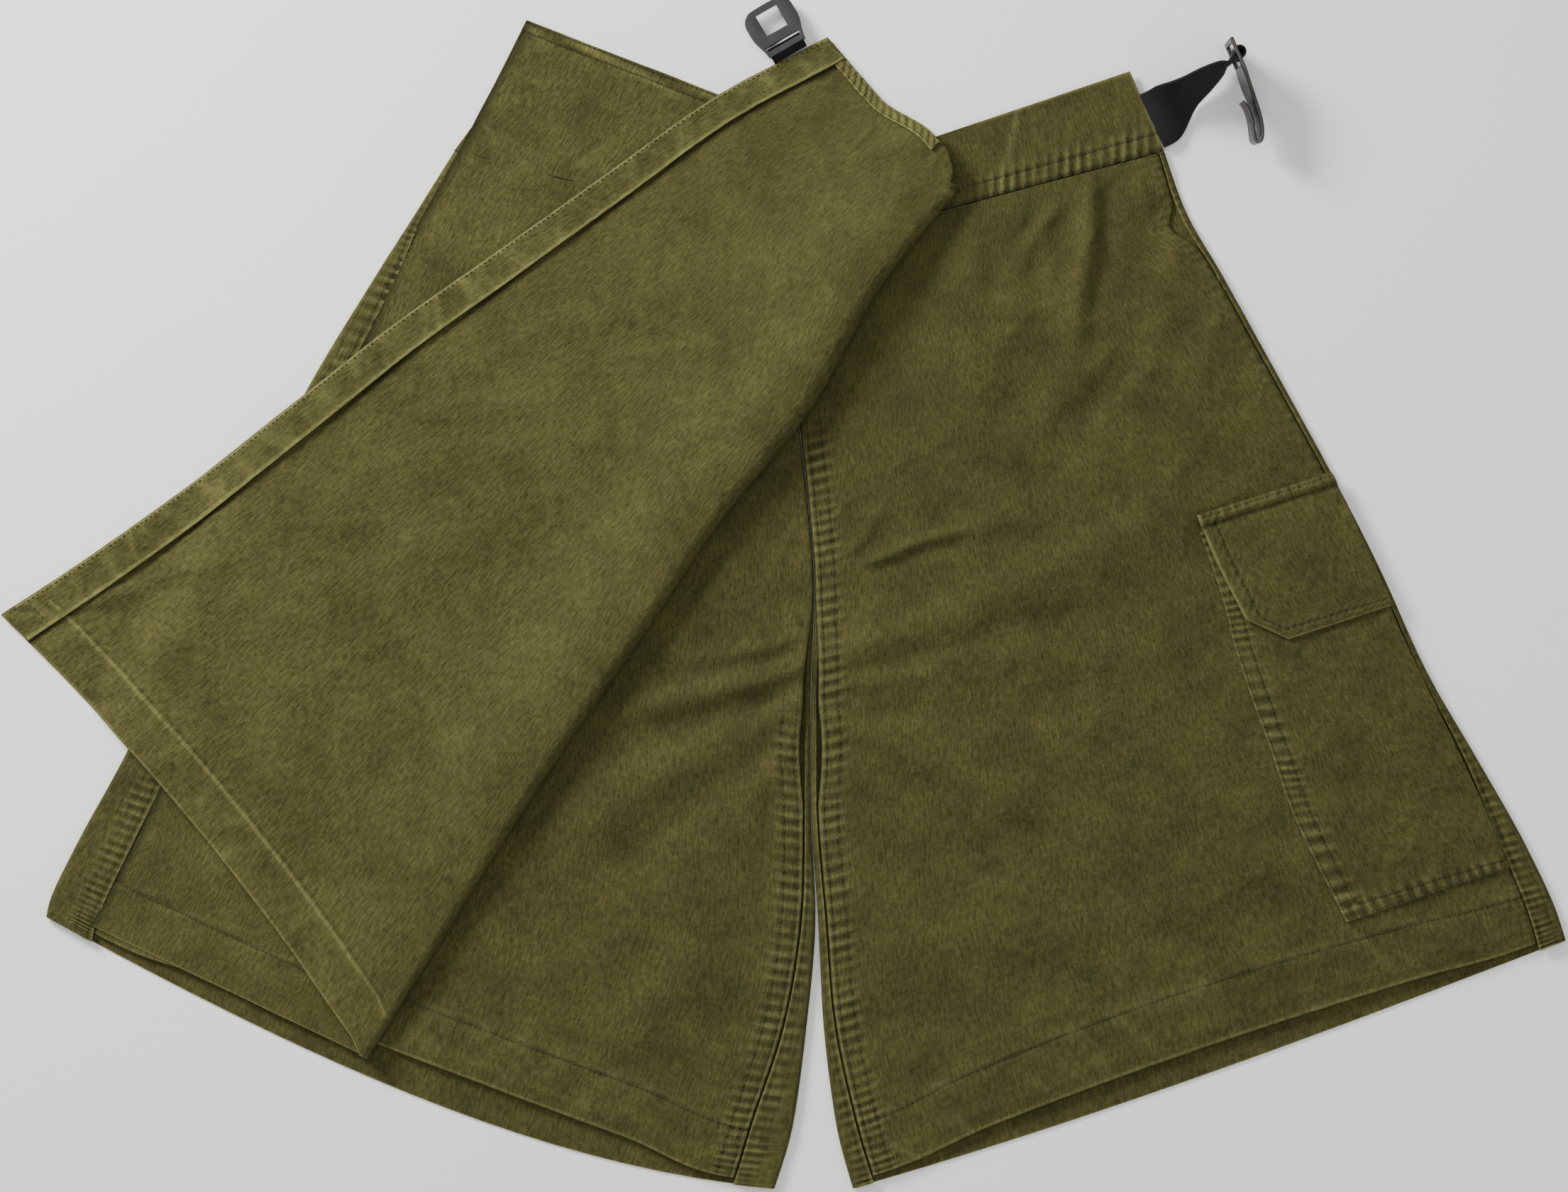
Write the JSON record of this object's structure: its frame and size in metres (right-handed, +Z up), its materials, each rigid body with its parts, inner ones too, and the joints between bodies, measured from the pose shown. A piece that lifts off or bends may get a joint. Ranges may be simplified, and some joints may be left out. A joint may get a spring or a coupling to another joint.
{
  "type": "wrap-front shorts (skort)",
  "caption": "Wide canvas shorts laid flat, with a wrap panel folded back over the left leg, a cargo pocket, a hook on a strap and a tab with a hole.",
  "frame": {"origin": "centre of the bounding box, on the surface that the shorts lie on", "axes": "+Z up from the surface, +Y from the hems to the waist, +X to the right as the front is seen, along the longest side; left and right in the names are as seen"},
  "size_m": [0.859, 0.6534, 0.033],
  "materials": {
    "canvas": "garment-dyed olive cotton canvas",
    "webbing": "black woven tape",
    "hook_metal": "dark gunmetal plating on pressed metal",
    "tab_plastic": "black moulded plastic, fine matt grain"
  },
  "bodies": {
    "root": {"back_left": "canvas", "back_right": "canvas", "front_left": "canvas", "front_right": "canvas", "waistband_back": "canvas", "waistband_front": "canvas", "wrap_panel": "canvas", "wrap_facing": "canvas", "wrap_waist_facing": "canvas", "pocket_bag": "canvas", "pocket_flap": "canvas", "strap": "webbing", "tab_webbing": "webbing"},
    "hook_body": {"hook": "hook_metal"},
    "tab_body": {"tab": "tab_plastic"}
  },
  "joints": [
    {"name": "hook_swing", "type": "hinge", "parent": "root", "child": "hook_body", "pos_m": [0.2465, 0.294, 0.017], "axis": [0, 0, 1], "range_deg": [-25, 25]},
    {"name": "tab_flip", "type": "hinge", "parent": "root", "child": "tab_body", "pos_m": [0.0015, 0.30033, 0.004], "axis": [0.866, 0.5, 0], "range_deg": [0, 110]}
  ]
}
